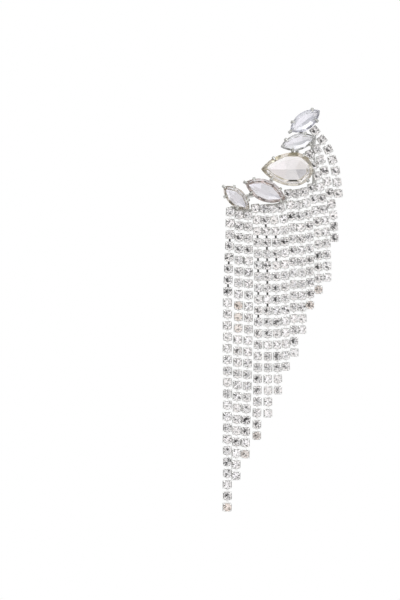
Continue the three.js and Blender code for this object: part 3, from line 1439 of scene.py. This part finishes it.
@dataclass(frozen=True)
class ChainForm:
    """The sizes of one link of cup chain, measured from the middle of the cup.

    A prong's shape has rows of a lean from the corner's diagonal, in degrees, and of how much of
    the prong's height the wall has there. A bar's shape has rows of a place along half of it and of
    a share of its width.
    """

    pitch: float = 3.7
    width: float = 2.92
    height: float = 2.8
    corner: float = 0.34
    wall: float = 0.15
    back: float = -1.06
    base: float = 0.15
    foot_round: float = 0.13
    foot_inset: float = 0.1
    lip: float = -0.08
    lip_round: float = 0.07
    bend: float = -0.06
    bend_radius: float = 0.24
    bend_angle: float = 57
    prong_run: float = 0.7
    prong: tuple[Pair, ...] = ((45, 0), (38, 0.1), (31, 0.55), (20, 0.86), (8, 1))
    rows: tuple[float, ...] = (0, 0.35, 0.515, 0.556, 0.6, 0.64, 0.8, 0.94, 1)
    bar_width: float = 0.86
    bar_thickness: float = 0.24
    bar_height: float = -0.62
    bar_reach: float = 0.84
    bar_lean: float = 21
    bar_shape: tuple[Pair, ...] = ((-1, 0.8), (-0.96, 1), (-0.6, 1), (-0.25, 0.82))

    def point(self, column: Column, offset: float) -> np.ndarray:
        """A point on the cup's rounded-square outline.

        Args:
            column: The column of the wall that it lies on.
            offset: How far inside the outer face it lies.

        Returns:
            The point, in the cup's plane.
        """
        angle = column.diagonal + math.radians(column.lean)
        signs = np.sign((math.cos(column.diagonal), math.sin(column.diagonal)))
        centre = signs * (np.array((self.width, self.height)) / 2 - self.corner)
        return centre + (self.corner - offset) * np.array((math.cos(angle), math.sin(angle)))

    def climb(self, distance: float, offset: float) -> Pair:
        """How a prong runs: straight up, round a bend and in over the crown.

        Args:
            distance: The distance up the prong's outer face, from the base.
            offset: How far inside the outer face the point lies.

        Returns:
            How far in towards the middle the point is, and its height.
        """
        straight = self.bend - self.back
        if distance <= straight:
            return 0.0, self.back + distance
        full = math.radians(self.bend_angle)
        turn = min((distance - straight) / self.bend_radius, full)
        inner = self.bend_radius - offset
        run = max(distance - straight - full * self.bend_radius, 0)
        inwards = inner - inner * math.cos(turn) + run * math.sin(turn)
        return inwards, self.bend + inner * math.sin(turn) + run * math.cos(turn)

    def columns(self) -> list[Column]:
        """The columns of the cup's wall, once round.

        Returns:
            The columns.
        """
        low = self.lip - self.back
        full = self.bend - self.back + math.radians(self.bend_angle) * self.bend_radius
        full += self.prong_run
        leans = [(-lean, share) for lean, share in self.prong] + list(self.prong[::-1])
        return [
            Column(corner, lean, low + (full - low) * share)
            for corner in range(4) for lean, share in leans
        ]

    def ring(self, offset: float, floor: float, row: float, over: float = 0) -> np.ndarray:
        """One ring of points round the cup's wall.

        Args:
            offset: How far inside the outer face the ring lies.
            floor: How far up the column the wall begins.
            row: How far up the wall the ring is, from 0 to 1.
            over: How far past that it is.

        Returns:
            The points.
        """
        ring = []
        for column in self.columns():
            distance = floor + (column.length - floor) * row + over
            inwards, height = self.climb(distance, offset)
            toward = -np.array((math.cos(column.diagonal), math.sin(column.diagonal)))
            ring.append((*(self.point(column, offset) + toward * inwards), height))
        return np.array(ring)

    def cup(self) -> Pattern:
        """One cup: a base, four low walls and a prong at each corner.

        Returns:
            The closed cup.
        """
        base = [
            np.array([(*self.point(column, inset), self.back) for column in self.columns()])
            for inset in (self.foot_round + self.foot_inset, self.foot_round)
        ]
        outer = [self.ring(0, self.foot_round, row) for row in self.rows]
        lip = self.ring(self.wall / 2, self.base, 1, self.lip_round)
        inner = [self.ring(self.wall, self.base, row) for row in reversed(self.rows)]
        return capped([*base, *outer, lip, *inner])

    def bar(self) -> Pattern:
        """The link between two cups, waisted in the middle.

        Returns:
            The closed bar, along the strand.
        """
        other_half = [(-spot, share) for spot, share in self.bar_shape[::-1]]
        shape = np.array((*self.bar_shape, *other_half))
        centres = np.outer(shape[:, 0] * self.bar_reach, (0, 1, 0))
        sides = np.tile((1.0, 0.0, 0.0), (len(shape), 1))
        ups = np.tile((0.0, 0.0, -1.0), (len(shape), 1))
        halves = [(self.bar_width / 2 * share, self.bar_thickness / 2) for share in shape[:, 1]]
        bar = swept(centres, sides, ups, halves, around=12, squareness=6, shading=Shading.FACETED)
        bar.parts = [1] * len(bar.faces)
        return bar


@dataclass(frozen=True)
class Strand:
    """One strand of the fringe: its stone count and the stations that its line runs through.

    warm gives the stones that are blush, each with how warm it is. square gives the links whose bar
    lies flat. squeeze is how much narrower the cups are pressed where strands crowd.
    """

    links: int
    top: Pair
    bend: Pair
    waist: Pair
    tip_x: float
    squeeze: float = 0
    warm: tuple[tuple[int, float], ...] = ()
    square: tuple[int, ...] = ()

    def route(self, pitch: float, depth: float) -> Route:
        """The line that the strand's stones lie on.

        Args:
            pitch: The distance from stone to stone.
            depth: How far the line lies in front of the lobe face.

        Returns:
            The line, one pitch longer than the strand.
        """
        used = math.dist(self.top, self.bend) + math.dist(self.bend, self.waist)
        tip = (self.tip_x, self.waist[1] - ((self.links + 1) * pitch - used))
        return Route((self.top, self.bend, self.waist, tip), depth)


@dataclass(frozen=True)
class Fringe:
    """Fourteen strands of cup chain, from the left."""

    form: ChainForm = field(default_factory=ChainForm)
    depth: float = 3.25
    stone: StoneCut = field(default_factory=lambda: StoneCut(
        Outline(1.26, 1.26, 1.26), crown=0.4, crown_slope=33, pavilion_slope=40.5,
        break_slope=42.5, culet_depth=0.96, edge=0.035, girdle_steps=4, lacquer=0.25,
    ))
    seat: float = 0.1
    twist: float = 6
    nod: float = 3
    roll: float = 1.2
    most_turn: float = 2
    stone_tilt: float = 5
    tint: float = 0.12
    # Painted shade: about this share of chain facets is darkened, keeping at most the next share of
    # their brightness, in place of dark reflections.
    painted_shade_share: float = 0.02
    shaded_facet_brightest: float = 0.5
    strands: tuple[Strand, ...] = (
        Strand(
            27, (-15, -12.9), (-15.1, -19.9), (-15.8, -38.4), -16,
            warm=((26, 0.8),), square=(2, 4, 6),
        ),
        Strand(
            24, (-12.1, -13.8), (-12.15, -21.2), (-12.5, -51.4), -13.3,
            warm=((8, 0.8), (9, 0.6), (10, 0.5)),
        ),
        Strand(22, (-9.3, -14.1), (-9.1, -24.7), (-9.1, -47.2), -10.4, 0.06, ((21, 0.5),)),
        Strand(
            21, (-6.8, -11.8), (-6.4, -15.3), (-5.9, -37.7), -6.5, 0.12,
            warm=((20, 0.5),), square=(2, 4, 5, 7, 9),
        ),
        Strand(
            19, (-4.1, -11.9), (-3.3, -19.2), (-2.9, -43.3), -2.7, 0.17,
            square=(1, 2, 3, 4, 5, 6, 7, 8),
        ),
        Strand(17, (-1.4, -11.9), (-0.3, -19.2), (0, -43.6), 0.6, 0.22, square=(2, 4)),
        Strand(15, (1.4, -11.6), (2.3, -15), (2.7, -26), 3.1, 0.28),
        Strand(15, (3.9, -7), (4.9, -14.3), (5.5, -29), 5.8, 0.3),
        Strand(13, (6.5, -7), (7.6, -14.2), (8.2, -25.4), 8.4, 0.3),
        Strand(11, (9.1, -6.4), (10.3, -13.5), (10.9, -25.4), 10.9, 0.3, ((10, 0.6),)),
        Strand(10, (11.5, -5.1), (12.85, -12.4), (13.5, -19.7), 13.7, 0.3, ((9, 0.6),)),
        Strand(12, (10.9, 5.8), (13.2, -0.6), (15.8, -15.3), 16.7, 0.3),
        Strand(9, (13.35, 7.6), (16.15, -1.5), (18.4, -13.2), 19, 0.32),
        Strand(7, (12.5, 13.4), (16.4, 8.2), (19, 1.4), 20.7, 0.08),
    )

    def seats(self, strand: Strand, chance: np.random.Generator) -> list[Placement]:
        """Where each cup of a strand hangs, a little turned as loose links are.

        Args:
            strand: The strand.
            chance: The source of the small turns.

        Returns:
            One placement for each cup, from the top.
        """
        route = strand.route(self.form.pitch, self.depth)
        seats = []
        for link in range(strand.links):
            distance = link * self.form.pitch
            down = route.heading(distance)
            across = np.cross(FORWARDS, down)
            seat = Placement(route.at((distance,))[0], across, -down, FORWARDS)
            turns = np.clip(chance.normal(0, 1, 3), -self.most_turn, self.most_turn)
            seat = seat.rotated(seat.along, turns[0] * self.twist)
            seat = seat.rotated(seat.across, turns[1] * self.nod)
            seats.append(seat.rotated(seat.forwards, turns[2] * self.roll))
        return seats

    def bridge(self, upper: Placement, lower: Placement, square: bool) -> Placement:
        """Where the bar between two cups sits.

        Args:
            upper: The cup above.
            lower: The cup below.
            square: True if the bar lies flat, and False if it leans back at its top.

        Returns:
            The bar's placement.
        """
        gap = lower.centre - upper.centre
        up = -gap / np.linalg.norm(gap)
        middle = (upper.centre + lower.centre) / 2 + self.form.bar_height * FORWARDS
        flat = Placement(middle, np.cross(up, FORWARDS), up, FORWARDS)
        return flat if square else flat.rotated(flat.across, -self.form.bar_lean)

    def nest(self, cup: Placement, spin: float, lean: float, way: float) -> Placement:
        """Where the stone in a cup sits, spun and tilted a little.

        Args:
            cup: The cup.
            spin: How far the stone is spun, as a share of a whole turn.
            lean: How far it is tilted, as a share of the most.
            way: The way it is tilted, as a share of a whole turn.

        Returns:
            The stone's placement.
        """
        around = 2 * math.pi * way
        tilt = math.cos(around) * cup.across + math.sin(around) * cup.along
        stone = cup.rotated(cup.forwards, 360 * spin).rotated(tilt, self.stone_tilt * lean)
        return replace(stone, centre=stone.centre + self.seat * cup.forwards)

    def painted_facet_shade(self, faces: int, shade_chance: np.random.Generator) -> np.ndarray:
        """How much each facet of a chain stone is spared of the painted shade that darkens a few
        facets.

        Args:
            faces: How many facets it has.
            shade_chance: The source of the painted shade.

        Returns:
            One share for each facet.
        """
        # Painted shade: a few facets, chosen at random, are darkened.
        share = self.painted_shade_share * shade_chance.uniform(0, 2)
        painted_shade = shade_chance.random(faces) < share
        return np.where(painted_shade, shade_chance.uniform(0, self.shaded_facet_brightest, faces), 1.0)

    def build(self) -> list[np.ndarray]:
        """Hangs every strand.

        Returns:
            The middle of the top cup of each strand.
        """
        chance, shade_chance = np.random.default_rng(SEED), np.random.default_rng(SEED + 1)
        bar, stone = self.form.bar(), self.stone.cut()
        tops = []
        for number, strand in enumerate(self.strands, 1):
            cup = replace(self.form, width=self.form.width - strand.squeeze).cup()
            seats = self.seats(strand, chance)
            warm = dict(strand.warm)
            metal = Piece(f"strand_{number:02d}_cups", CHAIN_PLATING, LINK_PLATING)
            glass = Piece(f"strand_{number:02d}_stones", CHAIN_GLASS, CHAIN_FOIL, CHAIN_FOIL)
            for link, seat in enumerate(seats):
                metal.put(cup, seat)
                spin, lean, way = chance.uniform(0, 1, 3)
                unshaded_share = self.painted_facet_shade(len(stone.faces), shade_chance)
                nest = self.nest(seat, spin, lean, way)
                glass.put(stone, nest, warm.get(link, self.tint * way), unshaded_share)
            for link, (upper, lower) in enumerate(zip(seats, seats[1:])):
                metal.put(bar, self.bridge(upper, lower, link in strand.square))
            node = f"fringe_strand_{number:02d}"
            metal.finish(Slot.PLATED_METAL, (node,), METAL_CREASE)
            glass.finish(Slot.RHINESTONE_CHAIN, (node,), STONE_CREASE)
            tops.append(seats[0].centre)
        return tops


# ---------------------------------------------------------------------------------------------
# The cluster
# ---------------------------------------------------------------------------------------------


@dataclass(frozen=True)
class Cluster:
    """The five set stones, from the top right to the lower left."""

    settings: tuple[Setting, ...] = (
        Setting(
            "navette_top", 9.2, 16.5, 35.5, girdle=4.8, inset=0.45,
            cut=StoneCut(
                Outline(5.9, 5.9, 2.9), crown=1.1, crown_slope=40, belly_slope=9, belly_depth=1.0,
                table_shift=0.35,
            ),
            claws=(Claw(-1, 0), Claw(-0.58, 1), Claw(0.7, 1), Claw(0.55, -1)),
            glass=COOL_GLASS, rim=COOL_RIM, belly=COOL_BELLY,
        ),
        Setting(
            "navette_upper", 7.1, 9.7, 15.5, girdle=4.8, inset=0.45,
            cut=StoneCut(
                Outline(6.1, 5.8, 2.65), crown=1.0, crown_slope=39, belly_slope=9, belly_depth=0.9,
                lacquer=0.8, table_shift=0.3,
            ),
            claws=(Claw(-0.6, 1), Claw(-0.42, -1), Claw(0.5, 1), Claw(0.62, -1)),
            glass=COOL_GLASS, rim=GREY_RIM, belly=GREY_BELLY,
        ),
        Setting(
            "pear", 5.7, 0.8, 0, girdle=5.3, inset=1.0,
            cut=StoneCut(
                Outline(10.75, 6.2, 5.45), crown=1.6, crown_slope=41, belly_slope=9,
                belly_depth=1.7, girdle_steps=8, lacquer=1.0, lacquer_side=0.35, table_shift=-0.5,
            ),
            claws=(Claw(-0.62, 1), Claw(-0.68, -1), Claw(0.5, 1), Claw(0.72, -1)),
            glass=WARM_GLASS, rim=CHAMPAGNE_RIM, belly=CHAMPAGNE_BELLY,
        ),
        Setting(
            "navette_wide", -3.8, -6.1, -23, girdle=4.9, inset=0.45,
            cut=StoneCut(
                Outline(7, 7.3, 3.5), crown=1.2, crown_slope=40, belly_slope=9, belly_depth=1.3,
                lacquer=1, lacquer_side=-0.9, table_shift=0.6,
            ),
            claws=(Claw(-1, 0), Claw(-0.67, 1), Claw(-0.55, -1), Claw(0.6, 1), Claw(0.85, -1)),
            glass=LILAC_GLASS, rim=ROSE_RIM, belly=LILAC_BELLY,
        ),
        Setting(
            "navette_lower", -13.1, -8.35, -41.5, girdle=4.8, inset=0.45,
            cut=StoneCut(
                Outline(5.4, 5.7, 2.8), crown=1.05, crown_slope=40, belly_slope=9, belly_depth=1.1,
                lacquer=1, lacquer_side=-0.5, table_shift=0.35,
            ),
            claws=(Claw(-1, 0), Claw(-0.53, 1), Claw(-0.54, -1), Claw(0.6, 1), Claw(0.45, -1)),
            glass=LILAC_GLASS, rim=BRONZE_RIM, belly=LILAC_BELLY,
        ),
    )

    def build(self) -> None:
        """Sets every stone."""
        shade_chance = np.random.default_rng(SEED)
        for setting in self.settings:
            setting.build(shade_chance)


# ---------------------------------------------------------------------------------------------
# Studio
# ---------------------------------------------------------------------------------------------


def direction(azimuth: float, elevation: float) -> tuple[float, float, float]:
    """The way from the object to a place in the studio.

    Args:
        azimuth: The angle round from straight in front, in degrees.
        elevation: The angle up from level, in degrees.

    Returns:
        A unit vector.
    """
    a, e = math.radians(azimuth), math.radians(elevation)
    return math.sin(a) * math.cos(e), -math.cos(a) * math.cos(e), math.sin(e)


@dataclass(frozen=True)
class Card:
    """A soft-edged patch of the studio's surroundings: a bright panel or a dark flag."""

    azimuth: float
    elevation: float
    spread: float
    softness: float
    colour: Colour

    def pin(self, bench: NodeBench, way: bpy.types.NodeSocket,
            behind: Colour | bpy.types.NodeSocket) -> bpy.types.NodeSocket:
        """Pins the card up in front of what is there already.

        Args:
            bench: The bench that the surroundings are laid out on.
            way: The direction that is looked in.
            behind: The surroundings so far.

        Returns:
            The surroundings with the card.
        """
        near = bench.add("ShaderNodeVectorMath", operation="DOT_PRODUCT")
        near.inputs[1].default_value = direction(self.azimuth, self.elevation)
        bench.join(way, near.inputs[0])
        outer = math.cos(math.radians(self.spread + self.softness))
        inner = math.cos(math.radians(self.spread))
        return bench.blend(bench.ease(near.outputs["Value"], (outer, inner)), behind, self.colour)


@dataclass(frozen=True)
class Softbox:
    """A square lamp that faces the object."""

    name: str
    azimuth: float
    elevation: float
    distance: float
    size: float
    power: float

    def hang(self, target: np.ndarray) -> None:
        """Hangs the lamp.

        Args:
            target: What it faces, in metres.
        """
        lamp = bpy.data.lights.new(self.name, "AREA")
        lamp.shape = "SQUARE"
        lamp.size = self.size
        lamp.energy = self.power
        hung = stand(self.name, lamp)
        away = np.array(direction(self.azimuth, self.elevation))
        hung.location = target + away * self.distance
        hung.rotation_mode = "QUATERNION"
        hung.rotation_quaternion = Vector(away).to_track_quat("Z", "Y")


@dataclass(frozen=True)
class Studio:
    """A white floor, soft surroundings, two softboxes and the camera. Lengths are in metres."""

    dome: Colour = (0.93, 0.93, 0.93)
    backdrop: Colour = (1.0, 1.0, 1.0)
    cards: tuple[Card, ...] = (
        Card(180, 0, 60, 40, (0.62, 0.62, 0.62)),
        Card(0, 90, 35, 20, (1.12, 1.12, 1.12)),
        Card(-80, 8, 8, 6, (0.25, 0.25, 0.26)),
        Card(88, 0, 8, 6, (0.25, 0.24, 0.23)),
        Card(25, -20, 14, 14, (1.25, 1.22, 1.25)),
        Card(22, 22, 10, 12, (1.0, 0.97, 0.97)),
        Card(-24, 20, 12, 12, (0.76, 0.76, 0.8)),
        Card(-24, -20, 10, 12, (0.93, 0.91, 0.9)),
        Card(-4, 26, 9, 6, (0.74, 0.74, 0.75)),
        Card(0, 46, 8, 5, (1.25, 1.25, 1.27)),
        Card(-50, -30, 6, 9, (0.15, 0.13, 0.11)),
        Card(52, -24, 6, 9, (0.17, 0.15, 0.14)),
        Card(-52, 22, 5, 6, (0.2, 0.2, 0.2)),
        Card(48, 34, 5, 6, (0.2, 0.19, 0.17)),
        Card(-17, 2, 5.5, 2, (0.3, 0.3, 0.3)),
        Card(-13, 14, 5.5, 2, (0.3, 0.3, 0.3)),
        Card(17, 11, 4.5, 2, (0.3, 0.3, 0.3)),
        Card(15, -10, 3, 2, (0.04, 0.04, 0.04)),
        Card(2, 0, 9.5, 2, (0.02, 0.02, 0.02)),
    )
    softboxes: tuple[Softbox, ...] = (
        Softbox("key_softbox", -38, 50, distance=0.9, size=0.45, power=0.6),
        Softbox("fill_softbox", 62, 30, distance=0.9, size=0.35, power=0.5),
    )
    floor_drop: float = 0.45
    floor_side: float = 1.8
    floor_steps: int = 24
    ripple: float = 0.0004
    ripple_waves: Pair = (3.1, 2.3)
    frame_height: float = 0.195
    frame_centre: Pair = (-0.02488, -0.04163)
    focus_depth: float = -0.004
    lens: float = 135
    sensor: float = 36
    clip: Pair = (0.01, 50)
    bounces: int = 24

    def lay_floor(self) -> None:
        """Lays a broad pale floor under the object, faintly uneven and so never a bare plane."""
        steps = self.floor_steps
        line = (np.arange(steps + 1) / steps - 0.5) * self.floor_side
        xs, ys = np.meshgrid(line, line, indexing="ij")
        across, along = self.ripple_waves
        heights = CAD_BOX[0].z - self.floor_drop
        heights = heights + self.ripple * np.sin(xs * across) * np.cos(ys * along)
        corners = [i * (steps + 1) + j for i in range(steps) for j in range(steps)]
        faces = [(a, a + steps + 1, a + steps + 2, a + 1) for a in corners]
        mesh = bpy.data.meshes.new("studio_floor")
        mesh.from_pydata(np.column_stack((xs.ravel(), ys.ravel(), heights.ravel())), [], faces)
        mesh.materials.append(FLOOR_BOARD.material())
        mesh.shade_smooth()
        floor = stand("studio_floor", mesh)

    def light(self) -> None:
        """Pins up the cards, shows the plain backdrop behind them, and hangs the softboxes."""
        world = bpy.data.worlds.new("studio_surroundings")
        world.use_nodes = True
        bpy.context.scene.world = world
        bench = NodeBench(world.node_tree)
        way = bench.add("ShaderNodeTexCoord").outputs["Generated"]
        seen = self.dome
        for card in self.cards:
            seen = card.pin(bench, way, seen)
        around = bench.add("ShaderNodeBackground")
        bench.join(seen, around.inputs["Color"])
        behind = bench.add("ShaderNodeBackground", {"Color": (*self.backdrop, 1)})
        path = bench.add("ShaderNodeLightPath")
        choose = bench.add("ShaderNodeMixShader")
        bench.join(path.outputs["Is Camera Ray"], choose.inputs["Fac"])
        bench.join(around.outputs[0], choose.inputs[1])
        bench.join(behind.outputs[0], choose.inputs[2])
        output = bench.add("ShaderNodeOutputWorld")
        bench.join(choose.outputs[0], output.inputs["Surface"])
        for softbox in self.softboxes:
            softbox.hang(np.mean(CAD_BOX, axis=0))

    def place_camera(self) -> None:
        """Places a long lens straight in front, with the object right of the frame's middle."""
        data = bpy.data.cameras.new("studio_camera")
        data.lens = self.lens
        data.sensor_width = self.sensor
        data.clip_start, data.clip_end = self.clip
        camera = stand("studio_camera", data)
        distance = self.frame_height * self.lens / self.sensor
        x, z = self.frame_centre
        camera.location = (x, self.focus_depth - distance, z)
        camera.rotation_euler = (math.pi / 2, 0, 0)
        bpy.context.scene.camera = camera
        bpy.context.scene.view_settings.view_transform = "Standard"

    def follow_light(self) -> None:
        """Follows light far enough through the backed stones, where it bounces many times."""
        paths = bpy.context.scene.cycles
        paths.max_bounces = self.bounces
        paths.glossy_bounces = self.bounces
        paths.transmission_bounces = self.bounces

    def build(self) -> None:
        """Sets up the whole studio."""
        self.place_camera()
        self.lay_floor()
        self.light()
        self.follow_light()


def main() -> None:
    """Builds the earring in the order that a workshop would, and then the studio round it."""
    logging.basicConfig(level=logging.INFO, format="%(name)s: %(message)s")
    tops = Fringe().build()
    FrameWires().build(tops)
    EarPost().build()
    Cluster().build()
    Studio().build()


if __name__ == "__main__":
    main()
